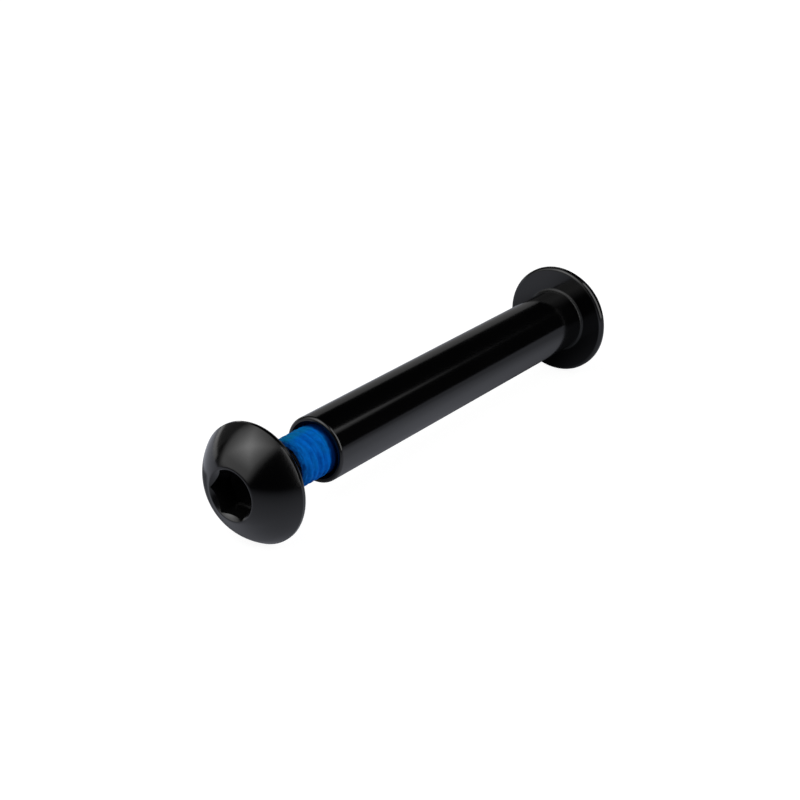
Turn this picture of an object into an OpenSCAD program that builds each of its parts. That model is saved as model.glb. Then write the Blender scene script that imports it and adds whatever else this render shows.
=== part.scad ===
// Barrel bolt: a long sleeve nut with a button head, closed by a socket screw with a locking coat.
// The axis lies along X. The origin is the centre of the barrel head's bearing face, the barrel runs
// to +X, and both heads rest on their rims, so the floor is half a head below the axis.

/* [Heads] */
// Diameter of both button heads
head_d = 14; // [11:0.1:18]
// Height of both heads from the bearing face to the crown
head_h = 4.25; // [3.4:0.05:5.5]
// Height of the rim under the dome, with its chamfer
rim_h = 0.7; // [0.5:0.05:1.2]
// Height of the steep chamfer between the bearing face and the rim
rim_chamfer_h = 0.35; // [0.1:0.05:0.45]
// Width of that chamfer across the bearing face
rim_chamfer_w = 0.16; // [0.05:0.01:0.4]
// Fillet between a bearing face and the shank that leaves it
seat_fillet_r = 0.35; // [0.1:0.05:0.5]

/* [Hex sockets] */
// Width of the hexagon across its flats, for a 5 mm key
hex_af = 5.1; // [3:0.05:6.1]
// Depth of the flats below the crown
hex_depth = 2.8; // [1.5:0.1:3]
// How far the countersunk mouth reaches past the hexagon's corners
mouth_lip = 0.04; // [0.02:0.01:0.2]
// Width of the flat ring left on the crown round the mouth
crown_land = 0.12; // [0.05:0.01:0.6]
// Step between the flats and the drilled point under them
point_land = 0.2; // [0.1:0.05:0.6]
// Full angle of the drilled point under the hexagon
point_angle = 120; // [100:1:150]
// Turn of the screw's socket about the axis
screw_socket_turn = 28; // [0:1:60]
// Turn of the barrel's socket about the axis
barrel_socket_turn = 12; // [0:1:60]

/* [Barrel nut] */
// Outside diameter of the barrel
barrel_d = 7.9; // [7.5:0.05:10]
// Length of the barrel under its head
barrel_len = 49.6; // [35:0.1:90]
// Rounding between the barrel's side and its mouth
mouth_edge_r = 0.35; // [0.1:0.05:0.45]
// Width of the flat ring at the mouth, between rounding and countersink
mouth_land = 0.13; // [0.05:0.01:0.3]
// Spare depth of the thread past the tip of a screw that is fully in
thread_spare = 5; // [0.5:0.5:8]
// Spare depth of the drilled hole past the thread, without the drill's point
drill_spare = 5; // [1:0.5:7]
// Diameter of the drill that the thread is cut in
drill_d = 5; // [4.6:0.05:5.4]
// Full angle of the drill's point
drill_angle = 118; // [100:1:140]

/* [Screw] */
// Length of the screw under its head
screw_len = 20; // [14:0.5:23]
// Diameter over the bare crests of the thread
thread_d = 5.8; // [5.6:0.01:5.97]
// Diameter of the neck turned under the head
neck_d = 5.4; // [4.8:0.05:5.5]
// Length of the neck under the head
neck_len = 0.8; // [0.6:0.05:2]
// Chamfer at the screw's tip
tip_chamfer = 0.6; // [0.2:0.05:1]
// How far the screw stands out, from its head's bearing face to the barrel's mouth
screw_gap = 9.5; // [0.2:0.1:12]

/* [Locking coat] */
// Thickness of the coat on the thread
coat_t = 0.08; // [0.05:0.01:0.15]
// Bare length of thread between the neck and the coat
coat_start = 3; // [0.05:0.05:6]
// Bare length of thread at the screw's tip
bare_tip = 2; // [1.2:0.1:6]
// Radial gap between the bare crests and the coat
coat_gap = 0.01; // [0.01:0.005:0.03]
// Radial clearance between the coat and the barrel's bore
thread_clearance = 0.04; // [0.02:0.005:0.1]

/* [Hidden] */
$fn = 96;
// How far a cutter reaches past the face that it opens, and a shank into the head that carries it
past = 0.5;

head_r = head_d / 2;
barrel_r = barrel_d / 2;
thread_r = thread_d / 2;
neck_r = neck_d / 2;
drill_r = drill_d / 2;

hex_flat_r = hex_af / 2;
hex_corner_r = hex_af / sqrt(3);
mouth_r = hex_corner_r + mouth_lip;
mouth_depth = mouth_r - hex_flat_r;
crown_r = mouth_r + crown_land;
point_r = hex_flat_r - point_land;
point_h = point_r / tan(point_angle / 2);

// The dome is a sphere about a point on the axis, through the rim's top edge and the crown's edge
dome_drop = (head_r ^ 2 + rim_h ^ 2 - crown_r ^ 2 - head_h ^ 2) / (2 * (head_h - rim_h));
dome_r = sqrt(head_r ^ 2 + (rim_h + dome_drop) ^ 2);

coat_in_r = thread_r + coat_gap;
coat_out_r = coat_in_r + coat_t;
bore_r = coat_out_r + thread_clearance;
countersink_r = barrel_r - mouth_edge_r - mouth_land;
countersink_depth = countersink_r - bore_r;
thread_depth = screw_len + thread_spare;
drill_depth = thread_depth + drill_spare;

run_out = thread_r - neck_r;
thread_start = neck_len + run_out;
coat_len = screw_len - thread_start - coat_start - bare_tip;

// Turns a piece that was built along Z to lie along X
module along_x() {
    rotate([0, 90, 0]) children();
}

// Places a piece that was built below the screw's bearing face, with that face at its origin
module at_screw() {
    translate([barrel_len + screw_gap, 0, 0]) along_x() children();
}

// Half section of a button head, with its bearing face at y = 0 and its crown at y = head_h
module head_section() {
    intersection() {
        translate([0, -dome_drop]) circle(r = dome_r);
        polygon([
            [0, 0],
            [head_r - rim_chamfer_w, 0],
            [head_r, rim_chamfer_h],
            [head_r, head_h],
            [0, head_h],
        ]);
    }
}

// Half section of the fillet between a bearing face at y = 0 and a shank of radius r below it
module fillet_section(r) {
    difference() {
        translate([r - seat_fillet_r, -seat_fillet_r]) square([2 * seat_fillet_r, seat_fillet_r + past]);
        translate([r + seat_fillet_r, -seat_fillet_r]) circle(r = seat_fillet_r);
    }
}

// Cutter for a socket whose mouth is at z = 0: hexagon, countersink and the drilled point below
module hex_socket() {
    translate([0, 0, -hex_depth]) cylinder(r = hex_corner_r, h = hex_depth + past, $fn = 6);
    translate([0, 0, -mouth_depth - past])
        cylinder(r1 = hex_flat_r - past, r2 = mouth_r + past, h = mouth_depth + 2 * past);
    translate([0, 0, -hex_depth - point_h]) cylinder(r1 = 0, r2 = point_r, h = point_h);
}

// Half section of the barrel below its head: straight, with a rounded edge at its mouth
module barrel_section() {
    translate([0, -barrel_len]) square([barrel_r - mouth_edge_r, barrel_len + past]);
    translate([0, mouth_edge_r - barrel_len]) square([barrel_r, barrel_len + past - mouth_edge_r]);
    translate([barrel_r - mouth_edge_r, mouth_edge_r - barrel_len]) circle(r = mouth_edge_r);
}

// Half section of the bore: drilled blind, threaded for most of its depth, countersunk at the mouth
module bore_section() {
    polygon([
        [0, drill_depth - barrel_len + drill_r / tan(drill_angle / 2)],
        [drill_r, drill_depth - barrel_len],
        [drill_r, thread_depth - barrel_len],
        [bore_r, thread_depth - barrel_len],
        [bore_r, countersink_depth - barrel_len],
        [countersink_r + past, -barrel_len - past],
        [0, -barrel_len - past],
    ]);
}

// Half section of the screw below its head: neck, thread at its crests, chamfered tip
module shank_section() {
    polygon([
        [0, past],
        [neck_r, past],
        [neck_r, -neck_len],
        [thread_r, -thread_start],
        [thread_r, tip_chamfer - screw_len],
        [thread_r - tip_chamfer, -screw_len],
        [0, -screw_len],
    ]);
}

module barrel_nut() {
    color("#1b1b1d") along_x() mirror([0, 0, 1]) difference() {
        union() {
            rotate_extrude() head_section();
            rotate_extrude() barrel_section();
            rotate_extrude() fillet_section(barrel_r);
        }
        rotate_extrude() bore_section();
        translate([0, 0, head_h]) rotate([0, 0, barrel_socket_turn]) hex_socket();
    }
}

module socket_screw() {
    color("#202022") at_screw() difference() {
        union() {
            rotate_extrude() head_section();
            rotate_extrude() shank_section();
            rotate_extrude() fillet_section(neck_r);
        }
        translate([0, 0, head_h]) rotate([0, 0, screw_socket_turn]) hex_socket();
    }
}

module thread_lock_coat() {
    color("#0a66a8") at_screw() translate([0, 0, bare_tip - screw_len]) difference() {
        cylinder(r = coat_out_r, h = coat_len);
        translate([0, 0, -past]) cylinder(r = coat_in_r, h = coat_len + 2 * past);
    }
}

barrel_nut();
socket_screw();
thread_lock_coat();
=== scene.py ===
import math
from functools import partial

import bmesh
import bpy
import numpy as np
from mathutils import Matrix, Vector


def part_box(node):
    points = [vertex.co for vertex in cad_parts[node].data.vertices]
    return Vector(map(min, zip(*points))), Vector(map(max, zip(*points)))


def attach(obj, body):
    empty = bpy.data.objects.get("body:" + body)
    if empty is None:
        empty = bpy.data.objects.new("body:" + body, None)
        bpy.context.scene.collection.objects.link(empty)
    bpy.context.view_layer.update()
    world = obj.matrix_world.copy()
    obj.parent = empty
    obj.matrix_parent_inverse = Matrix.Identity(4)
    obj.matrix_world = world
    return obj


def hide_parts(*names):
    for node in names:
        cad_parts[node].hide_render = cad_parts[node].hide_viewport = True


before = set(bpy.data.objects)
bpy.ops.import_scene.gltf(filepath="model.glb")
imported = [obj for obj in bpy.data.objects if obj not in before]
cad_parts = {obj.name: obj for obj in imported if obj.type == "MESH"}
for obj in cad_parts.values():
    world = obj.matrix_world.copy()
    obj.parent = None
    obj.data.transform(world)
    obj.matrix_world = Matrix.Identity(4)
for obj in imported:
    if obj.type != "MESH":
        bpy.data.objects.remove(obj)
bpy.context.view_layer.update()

# Barrel nut
# A long sleeve turned from steel bar, with a cold-formed button head, a broached hex socket and a
# tapped blind bore. It is dipped in a glossy black coat, and the screw closes it from the far end.

MM = 0.001
AROUND = 96  # points in every turned ring, so that the hexagon's corners fall on points
DOME_STEPS = 28
MERGE_DISTANCE = 0.002  # mm
HARD_EDGE = 40  # degrees
ZERO_TURN = -90  # degrees: a socket's turn counts from straight down
SOCKET_WEAR = 0.7

# Sizes are in mm, and the frame's origin is on the barrel head's bearing face
barrel_low, barrel_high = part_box("barrel_nut")
barrel_seat = 0.0
barrel_mouth = barrel_high.x / MM
barrel_length = barrel_mouth - barrel_seat
barrel_r = 3.95
head_h = barrel_seat - barrel_low.x / MM
head_r = barrel_high.z / MM
rim_h = 0.7
rim_chamfer_h = 0.35
rim_chamfer_w = 0.16
rim_edge_r = 0.38
edge_r = 0.03
dome_edge_r = 0.09
seat_fillet_r = 0.35
crown_land = 0.12
hex_flat_r = 2.55
hex_depth = 2.8
hex_corner_r = hex_flat_r / math.cos(math.pi / 6)
mouth_lip = 0.04
mouth_r = hex_corner_r + mouth_lip
mouth_edge = 0.025
point_land = 0.2
point_r = hex_flat_r - point_land
point_angle = 120
point_h = point_r / math.tan(math.radians(point_angle / 2))
barrel_socket_turn = math.radians(ZERO_TURN + 12)
bore_r = 3.03
bore_crest_r = 2.895  # shallower than a whole thread, to clear the coat
countersink_r = 3.47
countersink_end = barrel_mouth - (countersink_r - bore_r)
mouth_edge_r = 0.35
thread_depth = 25
drill_depth = 30
thread_end = barrel_mouth - thread_depth
drill_end = barrel_mouth - drill_depth
drill_r = 2.5
drill_angle = 118
drill_tip = drill_end - drill_r / math.tan(math.radians(drill_angle / 2))
pitch = 1.0
dip_black = (0.0008, 0.0008, 0.0009, 1)
rubbed_black = (0.012, 0.012, 0.013, 1)


def arc(centre, radius, start, end, steps):
    """Points (x, r) on an arc about a point of the section, from one angle to another in degrees."""
    turn = np.radians(np.linspace(start, end, steps + 1))
    return [(centre[0] + radius * math.cos(a), centre[1] + radius * math.sin(a)) for a in turn]


def rounded(outline, steps=5, beside=0.02):
    """Rings (x, r, edge) along an outline of (x, r, corner radius), with its corners rounded.

    The edge value is above 0 on an outer corner, and below 0 in an inner one.
    A ring close to each end of a rounding keeps the flats beside it flat when they are shaded smooth."""
    rings = []
    for i, (x, r, corner) in enumerate(outline):
        here = Vector((x, r))
        if not corner:
            rings.append((x, r, 0.0))
            continue
        before = Vector(outline[i - 1][:2]) - here
        after = Vector(outline[i + 1][:2]) - here
        half = before.angle(after) / 2
        reach = corner / math.tan(half)
        middle = here + (before.normalized() + after.normalized()).normalized() * corner / math.sin(half)
        first = here + before.normalized() * reach
        last = here + after.normalized() * reach
        sweep = (first - middle).angle_signed(last - middle)
        if before.length > reach + 2 * beside:
            rings.append((*(first + before.normalized() * beside), 0.0))
        for k in range(steps + 1):
            spoke = (first - middle).copy()
            spoke.rotate(Matrix.Rotation(-sweep * k / steps, 2))
            rings.append((*(middle + spoke), math.copysign(math.sin(math.pi * k / steps), -sweep)))
        if after.length > reach + 2 * beside:
            rings.append((*(last + after.normalized() * beside), 0.0))
    return rings


def head_rings(seat, outward, first_angle, shank):
    """Rings of a button head from its socket's drilled tip to the shank, which is an outline below it.

    Heights are above the bearing face, and outward is the sign of x that they grow in."""
    theta = first_angle + np.arange(AROUND) * 2 * math.pi / AROUND
    hexagon = hex_flat_r / np.cos((theta - first_angle) % (math.pi / 3) - math.pi / 6)
    floor_h = head_h - hex_depth
    socket = [
        (floor_h - point_h, 0.0, 0.0),
        (floor_h, point_r, 0.0),
        (floor_h, hexagon, 0.0),
        (head_h - (mouth_r - hexagon), hexagon, SOCKET_WEAR),
        (head_h - mouth_edge, mouth_r - mouth_edge, SOCKET_WEAR),
        (head_h, mouth_r + mouth_edge, SOCKET_WEAR),
    ]
    crown_r = mouth_r + crown_land
    drop = (head_r**2 + rim_h**2 - crown_r**2 - head_h**2) / (2 * (head_h - rim_h))
    dome_r = math.hypot(head_r, rim_h + drop)
    top = math.degrees(math.asin(crown_r / dome_r))
    edge = math.degrees(math.asin(head_r / dome_r))
    dome = [(h, r, 0.0) for h, r in arc((-drop, 0), dome_r, top, edge, DOME_STEPS)]
    dome[-1] = (*dome[-1][:2], dome_edge_r)
    rim = [(rim_chamfer_h, head_r, edge_r), (0.0, head_r - rim_chamfer_w, rim_edge_r)]
    outline = dome + rim + shank
    return [(seat + outward * h, r, wear) for h, r, wear in socket + rounded(outline)]


def skin(bm, rings, first_angle):
    """Adds the faces between rings of (x, r, edge), in mm; x and r may change round the axis."""
    edge_layer = bm.verts.layers.float.get("edge") or bm.verts.layers.float.new("edge")
    theta = first_angle + np.arange(AROUND) * 2 * math.pi / AROUND
    rows = []
    for x, r, edge in rings:
        x, r, turn = np.broadcast_arrays(x, r, theta)
        count = AROUND if r.max() > 0 else 1
        row = []
        for k in range(count):
            place = (x[k], r[k] * math.cos(turn[k]), r[k] * math.sin(turn[k]))
            vert = bm.verts.new(Vector(place) * MM)
            vert[edge_layer] = edge
            row.append(vert)
        rows.append(row)
    for a, b in zip(rows, rows[1:]):
        for k in range(AROUND):
            n = (k + 1) % AROUND
            corners = [a[k % len(a)], a[n % len(a)], b[n % len(b)], b[k % len(b)]]
            bm.faces.new(dict.fromkeys(corners))


def finished(bm, name, material):
    """Closes a piece's mesh, shades it smooth up to its hard edges and links its object."""
    bmesh.ops.remove_doubles(bm, verts=bm.verts, dist=MERGE_DISTANCE * MM)
    bmesh.ops.recalc_face_normals(bm, faces=bm.faces)
    for face in bm.faces:
        face.smooth = True
        face.material_index = 0
    for edge in bm.edges:
        edge.smooth = len(edge.link_faces) == 2 and edge.calc_face_angle() < math.radians(HARD_EDGE)
    mesh = bpy.data.meshes.new(name)
    bm.to_mesh(mesh)
    bm.free()
    mesh.materials.append(material)
    obj = bpy.data.objects.new(name, mesh)
    bpy.context.scene.collection.objects.link(obj)
    return obj


class Socket:
    """An output socket of a node tree; sums of sockets and numbers add their Math nodes."""

    def __init__(self, tree, socket):
        self.tree = tree
        self.socket = socket

    @classmethod
    def node(cls, tree, kind, settings=None, inputs=None, output=0):
        """Makes a node: its settings first, then the values or links of its sockets."""
        made = tree.nodes.new(kind)
        for name, value in (settings or {}).items():
            setattr(made, name, value)
        for key, value in (inputs or {}).items():
            if isinstance(value, Socket):
                tree.links.new(value.socket, made.inputs[key])
            else:
                made.inputs[key].default_value = value
        return cls(tree, made.outputs[output]) if made.outputs else made

    def math(self, operation, *others):
        """A Math node on this value and the others."""
        values = dict(enumerate((self, *others)))
        return Socket.node(self.tree, "ShaderNodeMath", {"operation": operation}, values)

    def __add__(self, other):
        return self.math("ADD", other)

    def __sub__(self, other):
        return self.math("SUBTRACT", other)

    def __rsub__(self, other):
        return (self * -1) + other

    def __mul__(self, other):
        return self.math("MULTIPLY", other)

    def __truediv__(self, other):
        return self.math("DIVIDE", other)

    __radd__ = __add__
    __rmul__ = __mul__

    def spread(self, low, high, to_low, to_high, shape="LINEAR"):
        """Maps a range to another, held at both ends."""
        values = dict(enumerate((self, low, high, to_low, to_high)))
        return Socket.node(self.tree, "ShaderNodeMapRange", {"interpolation_type": shape}, values)

    def blend(self, low, high):
        """Mixes two colours, from all of the first at 0 to all of the second at 1."""
        return Socket.node(self.tree, "ShaderNodeMix", {"data_type": "RGBA"}, {0: self, 6: low, 7: high}, 2)

    def xyz(self):
        """The three values of a vector."""
        first = Socket.node(self.tree, "ShaderNodeSeparateXYZ", None, {0: self})
        return [Socket(self.tree, value) for value in first.socket.node.outputs]


def new_material(name):
    """A material with an empty node tree, and a function that makes nodes in it."""
    material = bpy.data.materials.new(name)
    material.use_nodes = True
    material.node_tree.nodes.clear()
    return material, partial(Socket.node, material.node_tree)


def black_coat(name, roughness):
    """Glossy black dip coat on steel: a little uneven, rubbed at its edges and dull in its corners."""
    material, make = new_material(name)
    place = make("ShaderNodeTexCoord", output="Object")
    x, y, z = place.xyz()
    radius = (y * y + z * z).math("SQRT")
    lathe = x + radius * 3
    lines = make("ShaderNodeTexNoise", {"noise_dimensions": "1D"}, {"W": lathe, "Scale": 9000, "Detail": 1})
    peel = make("ShaderNodeTexNoise", None, {"Vector": place, "Scale": 420, "Detail": 2})
    cloud = make("ShaderNodeTexNoise", None, {"Vector": place, "Scale": 160, "Detail": 4})
    edge = make("ShaderNodeAttribute", {"attribute_name": "edge"}, output="Fac")
    rubbed = edge.math("MAXIMUM", 0.0) * cloud.spread(0.35, 0.65, 0.2, 1.0)
    pooled = (edge * -1).math("MAXIMUM", 0.0)
    colour = (rubbed * 0.4).blend(dip_black, rubbed_black)
    dull = roughness + (cloud - 0.5) * 0.08 + (lines - 0.5) * 0.02 + rubbed * 0.06 + pooled * 0.35
    height = peel * 0.6 + lines * 0.02
    bump = make("ShaderNodeBump", None, {"Strength": 0.06, "Distance": 0.05 * MM, "Height": height})
    shader = make(
        "ShaderNodeBsdfPrincipled",
        None,
        {"Base Color": colour, "Roughness": dull, "IOR": 1.5, "Normal": bump},
    )
    make("ShaderNodeOutputMaterial", None, {"Surface": shader})
    return material


def thread_tree():
    """Geometry Nodes for a right-hand thread as a sheet of helical rows about the x axis, in metres."""
    tree = bpy.data.node_groups.new("helical thread", "GeometryNodeTree")
    sizes = ("Start", "Length", "Pitch", "Crest radius", "Root radius", "First angle", "Ragged edge")
    sizes += ("Start radius", "Start run-out", "End radius", "End run-out", "Uneven fill")
    for name in sizes:
        tree.interface.new_socket(name, in_out="INPUT", socket_type="NodeSocketFloat")
    for name in ("Around", "Rows", "Rows per turn"):
        tree.interface.new_socket(name, in_out="INPUT", socket_type="NodeSocketInt")
    tree.interface.new_socket("Material", in_out="INPUT", socket_type="NodeSocketMaterial")
    tree.interface.new_socket("Thread", in_out="OUTPUT", socket_type="NodeSocketGeometry")
    given = tree.nodes.new("NodeGroupInput")
    size = {s.name: Socket(tree, s) for s in given.outputs if s.name}
    make = partial(Socket.node, tree)
    counts = {"Vertices X": size["Around"] + 1, "Vertices Y": size["Rows"] + 1}
    grid = make("GeometryNodeMeshGrid", None, {**counts, "Size X": 1.0, "Size Y": 1.0})
    grid_x, grid_y = make("GeometryNodeInputPosition").xyz()[:2]
    turns = grid_x + 0.5
    along = grid_y + 0.5
    angle = turns * (2 * math.pi) + size["First angle"]
    across = angle.math("COSINE")
    up = angle.math("SINE")
    noise_slice = 3.7
    circle = make("ShaderNodeCombineXYZ", None, {0: noise_slice, 1: across, 2: up})
    noise = make("ShaderNodeTexNoise", None, {"Vector": circle, "Scale": 5, "Detail": 4, "Roughness": 0.7})
    ragged = size["Ragged edge"] * noise.spread(0.3, 0.7, 0.0, 1.0)
    end = size["Start"] + size["Length"]
    span = size["Pitch"] * size["Rows"] / size["Rows per turn"]
    raw = size["Start"] - size["Pitch"] + along * span + turns * size["Pitch"]
    x = raw.math("MAXIMUM", size["Start"] + ragged).math("MINIMUM", end - ragged)
    phase = (x / size["Pitch"] - angle / (2 * math.pi)).math("FRACT")
    from_crest = (phase - 0.5).math("ABSOLUTE") * 2
    flank_start = 0.1
    flank_end = 0.8
    radii = (size["Crest radius"], size["Root radius"])
    profile = from_crest.spread(flank_start, flank_end, *radii, "SMOOTHSTEP")
    patch = make("ShaderNodeCombineXYZ", None, {0: x / size["Pitch"], 1: across, 2: up})
    lumps = make("ShaderNodeTexNoise", None, {"Vector": patch, "Scale": 1.7, "Detail": 3})
    filled = size["Uneven fill"] * lumps.spread(0.35, 0.65, 0.0, 1.0)
    profile = profile + (size["Crest radius"] - profile) * filled
    grown = x.spread(size["Start"], size["Start"] + size["Start run-out"], 0.0, 1.0)
    left = x.spread(end - size["End run-out"], end, 1.0, 0.0)
    radius = size["Start radius"] + (profile - size["Start radius"]) * grown
    radius = size["End radius"] + (radius - size["End radius"]) * left
    place = make("ShaderNodeCombineXYZ", None, {0: x, 1: radius * across, 2: radius * up})
    wound = make("GeometryNodeSetPosition", None, {"Geometry": grid, "Position": place})
    joined = make("GeometryNodeMergeByDistance", None, {"Geometry": wound, "Distance": 0.001 * MM})
    real = make("GeometryNodeRealizeInstances", None, {"Geometry": joined})
    painted = make("GeometryNodeSetMaterial", None, {"Geometry": real, "Material": size["Material"]})
    make("NodeGroupOutput", None, {"Thread": painted})
    return tree


def thread_mesh(tree, material, sizes, rows_per_turn=12):
    """The thread sheet of the given sizes as a plain mesh.

    Lengths are in mm, the first angle in radians, and the uneven fill is a share of the thread's depth."""
    obj = bpy.data.objects.new(tree.name, bpy.data.meshes.new(tree.name))
    bpy.context.scene.collection.objects.link(obj)
    modifier = obj.modifiers.new(tree.name, "NODES")
    modifier.node_group = tree
    values = {name: size * MM for name, size in sizes.items()}
    for name in ("First angle", "Uneven fill"):
        values[name] = sizes.get(name, 0.0)
    values["Around"] = AROUND
    values["Rows"] = math.ceil((sizes["Length"] / sizes["Pitch"] + 1) * rows_per_turn)
    values["Rows per turn"] = rows_per_turn
    values["Material"] = material
    for item in tree.interface.items_tree:
        if item.in_out == "INPUT":
            modifier[item.identifier] = values.get(item.name, 0.0)
    seen = obj.evaluated_get(bpy.context.evaluated_depsgraph_get())
    mesh = bpy.data.meshes.new_from_object(seen)
    bpy.data.objects.remove(obj)
    return mesh


barrel_black = black_coat("barrel black", roughness=0.14)
helical_thread = thread_tree()
barrel_thread = thread_mesh(
    helical_thread,
    barrel_black,
    {
        "Start": thread_end,
        "Length": countersink_end - thread_end,
        "Pitch": pitch,
        "Crest radius": bore_r,
        "Root radius": bore_crest_r,
        "First angle": barrel_socket_turn,
        "Start radius": drill_r,
        "Start run-out": 1.5,
        "End radius": bore_r,
        "End run-out": 0.6,
    },
)
barrel_outline = [
    (0.0, barrel_r, seat_fillet_r),
    (-barrel_length, barrel_r, mouth_edge_r),
    (-barrel_length, countersink_r, edge_r),
    (barrel_seat - countersink_end, bore_r, 0.0),
]
barrel_mesh = bmesh.new()
barrel_mesh.from_mesh(barrel_thread)
skin(barrel_mesh, head_rings(barrel_seat, -1, barrel_socket_turn, barrel_outline), barrel_socket_turn)
drilled = [(thread_end, drill_r, 0.0), (drill_end, drill_r, 0.0), (drill_tip, 0.0, 0.0)]
skin(barrel_mesh, drilled, barrel_socket_turn)
barrel = finished(barrel_mesh, "barrel_nut_turned", barrel_black)
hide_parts("barrel_nut")
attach(barrel, "barrel_nut")

# Socket screw
# A cold-headed steel screw with the same button head and hex socket as the barrel, a short neck of the
# blank's own width and a rolled M6 thread. It has the same black coat, and turns into the barrel.

screw_low, screw_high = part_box("socket_screw")
screw_tip = screw_low.x / MM
screw_seat = screw_high.x / MM - head_h
screw_socket_turn = math.radians(ZERO_TURN + 28)
neck_r = 2.7
neck_len = 0.8
neck_end = screw_seat - neck_len
thread_crest_r = 2.9
thread_root_r = 2.39
tip_r = 2.3

screw_black = black_coat("screw black", roughness=0.16)
screw_thread = thread_mesh(
    helical_thread,
    screw_black,
    {
        "Start": screw_tip,
        "Length": neck_end - screw_tip,
        "Pitch": pitch,
        "Crest radius": thread_crest_r,
        "Root radius": thread_root_r,
        "First angle": screw_socket_turn,
        "Start radius": tip_r,
        "Start run-out": 0.6,
        "End radius": neck_r,
        "End run-out": 1.0,
    },
)
screw_mesh = bmesh.new()
screw_mesh.from_mesh(screw_thread)
neck_outline = [(0.0, neck_r, seat_fillet_r), (-neck_len, neck_r, 0.0)]
skin(screw_mesh, head_rings(screw_seat, 1, screw_socket_turn, neck_outline), screw_socket_turn)
skin(screw_mesh, [(screw_tip, tip_r, 0.0), (screw_tip, 0.0, 0.0)], screw_socket_turn)
screw = finished(screw_mesh, "socket_screw_turned", screw_black)
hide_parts("socket_screw")
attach(screw, "socket_screw")

# Locking coat
# A dry blue nylon-type patch, sprayed hot all round the screw's thread. It half fills the grooves, ends
# in a ragged edge under the head, and turns with the screw.

coat_low, coat_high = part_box("thread_lock_coat")
coat_start = coat_low.x / MM
coat_end = coat_high.x / MM
coat_inset = 0.005
coat_r = coat_high.z / MM - coat_inset
coat_groove_r = 2.75
coat_t = 0.08
coat_fade = 1.2
# Painted shade: the coat is painted dark up to this far past the barrel's mouth
mouth_shade_reach = 0.42
mouth_shade_end = barrel_mouth + mouth_shade_reach
deep_blue = (0.0003, 0.045, 0.25, 1)
bright_blue = (0.001, 0.13, 0.55, 1)
teal = (0.002, 0.13, 0.3, 1)
# Dark blue of the coat's thin ragged end, and of the painted shade at the barrel's mouth
thin_end_and_shade_blue = (0.0003, 0.016, 0.09, 1)


def locking_blue():
    """Dry blue coat: streaked round the thread, greener in patches, on its -y side and near its end, and
    thin and dark towards that end.

    Its crests are painted lighter and its grooves darker: painted highlight and painted shade. From inside
    the barrel to just past its mouth the coat is painted dark, as painted shade of the mouth, with a
    painted highlight line just beyond it."""
    material, make = new_material("locking blue")
    place = make("ShaderNodeTexCoord", output="Object")
    x, y, z = place.xyz()
    radius = (y * y + z * z).math("SQRT")
    # Painted highlight on the thread's crests and painted shade in its grooves: the coat's tone rises with
    # this
    painted_crest_light = radius.spread(coat_groove_r * MM, coat_r * MM, 0.0, 1.0)
    stretched = make("ShaderNodeMapping", None, {"Vector": place, "Scale": (2.5, 1, 1)})
    streaks = make("ShaderNodeTexNoise", None, {"Vector": stretched, "Scale": 900, "Detail": 4})
    patches = make("ShaderNodeTexNoise", None, {"Vector": place, "Scale": 420, "Detail": 2})
    grain = make("ShaderNodeTexNoise", None, {"Vector": place, "Scale": 2600, "Detail": 3})
    from_end = (coat_end * MM - x) / (coat_fade * MM)
    cover = from_end + (streaks - 0.5) * 1.6 + (grain - 0.5) * 0.8
    # Greener on the coat's -y side and near its ragged end
    greener_side_and_end = (y / radius).spread(0.2, -0.1, 0.0, 0.7) + from_end.spread(0.3, 2.0, 0.3, 0.0)
    # Painted shade of the barrel's mouth: the coat is painted dark up to here
    past_mouth_shade = x / MM - mouth_shade_end + (streaks - 0.5) * 0.4
    # Painted highlight: a light line just past the painted mouth shade
    painted_highlight_line = past_mouth_shade.spread(0.05, 0.55, 0.5, 0.0)
    tone = painted_crest_light * 0.45 + (streaks - 0.5) * 1.1 + (grain - 0.5) * 0.9 + 0.33 + painted_highlight_line
    blue = tone.blend(deep_blue, bright_blue)
    greener = patches.spread(0.5, 0.7, 0.0, 0.4) + greener_side_and_end
    tinted = greener.blend(blue, teal)
    # Where this is low the coat takes the dark blue: its thin end, and the painted mouth shade
    whole = cover.spread(-0.1, 1.0, 0.0, 1.0) * past_mouth_shade.spread(-0.2, 0.1, 0.0, 1.0)
    colour = whole.blend(thin_end_and_shade_blue, tinted)
    height = streaks + grain * 0.4
    bump = make("ShaderNodeBump", None, {"Strength": 0.35, "Distance": 0.04 * MM, "Height": height})
    shader = make(
        "ShaderNodeBsdfPrincipled",
        None,
        {"Base Color": colour, "Roughness": 0.45 + grain * 0.15, "IOR": 1.06, "Normal": bump},
    )
    make("ShaderNodeOutputMaterial", None, {"Surface": shader})
    return material


coat_blue = locking_blue()
coat_sheet = thread_mesh(
    helical_thread,
    coat_blue,
    {
        "Start": coat_start,
        "Length": coat_end - coat_start,
        "Pitch": pitch,
        "Crest radius": coat_r,
        "Root radius": coat_groove_r,
        "First angle": screw_socket_turn,
        "Ragged edge": 0.2,
        "Uneven fill": 0.55,
        "Start radius": thread_crest_r,
        "Start run-out": 0.5,
        "End radius": thread_crest_r,
        "End run-out": 0.5,
    },
)
coat_mesh = bmesh.new()
coat_mesh.from_mesh(coat_sheet)
coat = finished(coat_mesh, "locking_coat_sheet", coat_blue)
wall = coat.modifiers.new("wall", "SOLIDIFY")
wall.thickness = coat_t * MM
wall.offset = -1
solid = bpy.data.meshes.new_from_object(coat.evaluated_get(bpy.context.evaluated_depsgraph_get()))
coat.modifiers.remove(wall)
coat.data = solid
coat.name = "locking_coat"
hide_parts("thread_lock_coat")
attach(coat, "socket_screw")

# Studio
# A plain white floor under the bolt, a wide soft key light beside the camera with a bright core, and
# smaller panels that draw the long lines on the barrel and the rims.

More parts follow.
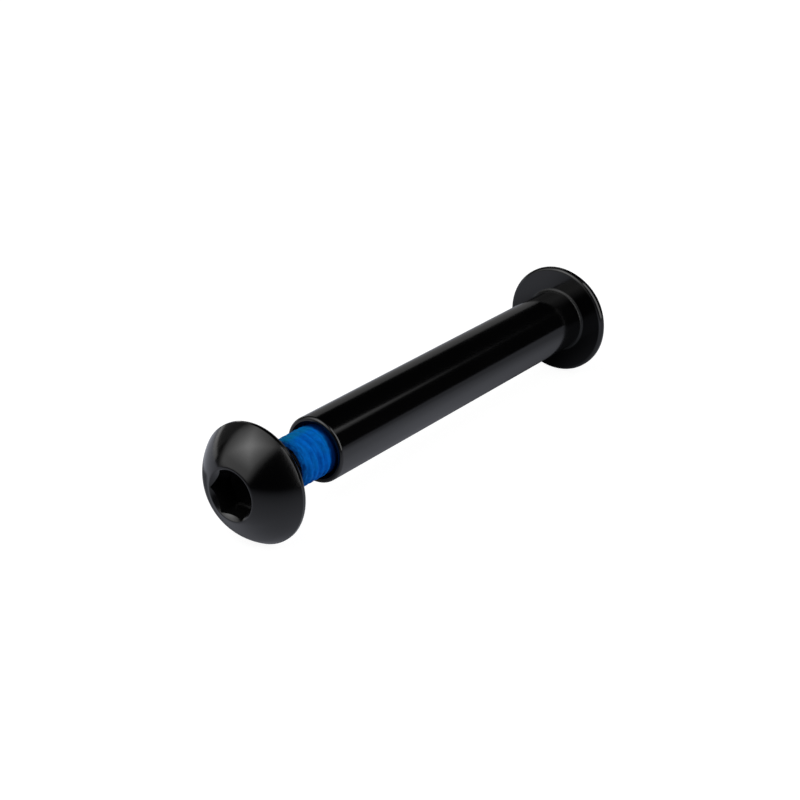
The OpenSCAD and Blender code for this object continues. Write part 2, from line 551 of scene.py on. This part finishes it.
FLOOR_R = 6.0  # m
FLOOR_GAP = 0.5  # mm
FADE_LENGTH = 38  # mm
camera_turn = math.radians(127.14)
floor_z = barrel_low.z
bolt_middle = Vector(((barrel_low.x + screw_high.x) / 2, 0, 0))


def floor_disc(name, height):
    """A wide flat disc under the bolt, and a function that makes nodes in its material."""
    bm = bmesh.new()
    bmesh.ops.create_circle(bm, cap_ends=True, segments=64, radius=FLOOR_R)
    mesh = bpy.data.meshes.new(name)
    bm.to_mesh(mesh)
    bm.free()
    mesh.transform(Matrix.Translation((0, 0, height)))
    material, make = new_material(name)
    mesh.materials.append(material)
    disc = bpy.data.objects.new(name, mesh)
    bpy.context.scene.collection.objects.link(disc)
    return disc, make


# The eye gets a white floor with a faint shadow, overexposed as a picture of something black is
white_floor, make = floor_disc("white floor", floor_z)
place = make("ShaderNodeTexCoord", output="Object")
far_out = make("ShaderNodeVectorMath", {"operation": "LENGTH"}, {0: place}, "Value")
white = make(
    "ShaderNodeBsdfPrincipled",
    None,
    {
        "Base Color": (0.2, 0.2, 0.2, 1),
        "Roughness": 1.0,
        "Specular IOR Level": 0.0,
        "Emission Color": far_out.spread(0.2, 1.0, 0.92, 1.0),
        "Emission Strength": 1.0,
    },
)
make("ShaderNodeOutputMaterial", None, {"Surface": white})
white_floor.visible_glossy = False
white_floor.visible_diffuse = False
white_floor.visible_shadow = False

# The black coat mirrors a glowing grey floor that no lamp lights and the camera doesn't see: the bolt's
# shadow is painted into its glow, dimmer under the bolt, and the glow fades out towards the camera
glowing_floor, make = floor_disc("glowing floor", floor_z - FLOOR_GAP * MM)
place = make("ShaderNodeTexCoord", output="Object")
x, y = (value / MM for value in place.xyz()[:2])
ahead = (x - screw_high.x / MM) * math.sin(camera_turn) - y * math.cos(camera_turn)
faded = (ahead.math("MAXIMUM", 0.0) / -FADE_LENGTH).math("EXPONENT")
# The bolt's painted shadow on the glowing floor, made from these masks
near_side = y.spread(11, -3, 0.0, 1.0, "SMOOTHSTEP")
far_side = (y + x.spread(30, 62, 0, 12)).spread(-19.5, -14, 0.0, 1.0, "SMOOTHSTEP")
lengthwise = x.spread(0, 30, 1.0, 0.8) * x.spread(screw_seat + 1.5, screw_seat + 5.5, 1.0, 0.0)
painted_shadow = near_side * far_side * lengthwise
strength = x.spread(-20, 25, 0.3, 0.62) * faded * (1 - painted_shadow)
tint = strength.blend((0, 0, 0, 1), (0.95, 0.98, 1.1, 1))
glow = make("ShaderNodeEmission", None, {"Color": tint, "Strength": 1.0})
make("ShaderNodeOutputMaterial", None, {"Surface": glow})
glowing_floor.visible_camera = False
glowing_floor.visible_shadow = False


def towards(azimuth, elevation):
    """Unit vector to a place round the bolt; azimuth 0 is at -y, and 90 at +x."""
    a = math.radians(azimuth)
    e = math.radians(elevation)
    return Vector((math.sin(a) * math.cos(e), -math.cos(a) * math.cos(e), math.sin(e)))


def panel(name, azimuth, elevation, half_wide, half_high, radiance, distance=1.6):
    """A flat soft light that faces the bolt; its size is two half angles as seen from there."""
    light = bpy.data.lights.new(name, "AREA")
    light.shape = "RECTANGLE"
    light.size = 2 * distance * math.tan(math.radians(half_wide))
    light.size_y = 2 * distance * math.tan(math.radians(half_high))
    light.energy = radiance * math.pi * light.size * light.size_y
    obj = bpy.data.objects.new(name, light)
    bpy.context.scene.collection.objects.link(obj)
    back = towards(azimuth, elevation)
    obj.location = bolt_middle + back * distance
    obj.rotation_euler = back.to_track_quat("Z", "Y").to_euler()
    obj.visible_camera = False


EDGE_LAYERS = 3
CORE_LAYERS = 5
LAYER_GAP = 0.05  # m
for layer in range(EDGE_LAYERS):
    panel(
        f"key edge {layer}",
        azimuth=59,
        elevation=46,
        half_wide=38 - 4 * layer,
        half_high=43 - 3 * layer,
        radiance=1 / EDGE_LAYERS,
        distance=1.7 - LAYER_GAP * layer,
    )
for layer in range(CORE_LAYERS):
    half_angle = 27 - 21 * layer / (CORE_LAYERS - 1)
    panel(
        f"key core {layer}",
        azimuth=62,
        elevation=50,
        half_wide=half_angle,
        half_high=half_angle,
        radiance=0.3 + 0.12 * layer,
        distance=1.5 - LAYER_GAP * layer,
    )
panel("side card", azimuth=187, elevation=28, half_wide=22, half_high=40, radiance=2.4)
panel("far strip", azimuth=-122, elevation=49.5, half_wide=5, half_high=16, radiance=0.42)
panel("far strip top", azimuth=-122, elevation=52.5, half_wide=5, half_high=16, radiance=0.45, distance=1.5)
panel("back card", azimuth=-54, elevation=12, half_wide=25, half_high=14, radiance=0.26)
panel("left card", azimuth=-12, elevation=2.5, half_wide=30, half_high=5, radiance=0.8)
panel("left fill", azimuth=-3, elevation=24, half_wide=16, half_high=22, radiance=0.12, distance=1.9)

world = bpy.data.worlds.new("studio")
bpy.context.scene.world = world
world.use_nodes = True
world.node_tree.nodes.clear()
make = partial(Socket.node, world.node_tree)
seen_directly = make("ShaderNodeLightPath", output="Is Camera Ray")
backdrop = make("ShaderNodeBackground", None, {"Color": (1, 1, 1, 1), "Strength": seen_directly})
make("ShaderNodeOutputWorld", None, {"Surface": backdrop})

# The camera stands as in the photograph: found by fitting the bolt's outline, with no shift and no roll
camera_elevation = 24.19
lens_mm = 79.37
seat_in_view = Vector((-15.283, -8.693, -188.751)) * MM
camera_data = bpy.data.cameras.new("camera")
camera_data.lens = lens_mm
camera_data.sensor_width = 36
camera_data.clip_start = 0.01
camera_data.clip_end = 50
camera = bpy.data.objects.new("camera", camera_data)
bpy.context.scene.collection.objects.link(camera)
camera.rotation_euler = (math.radians(90 - camera_elevation), 0, camera_turn)
turned = camera.rotation_euler.to_matrix()
camera.location = Vector((screw_seat * MM, 0, 0)) - turned @ seat_in_view
bpy.context.scene.camera = camera
bpy.context.scene.view_settings.view_transform = "Standard"
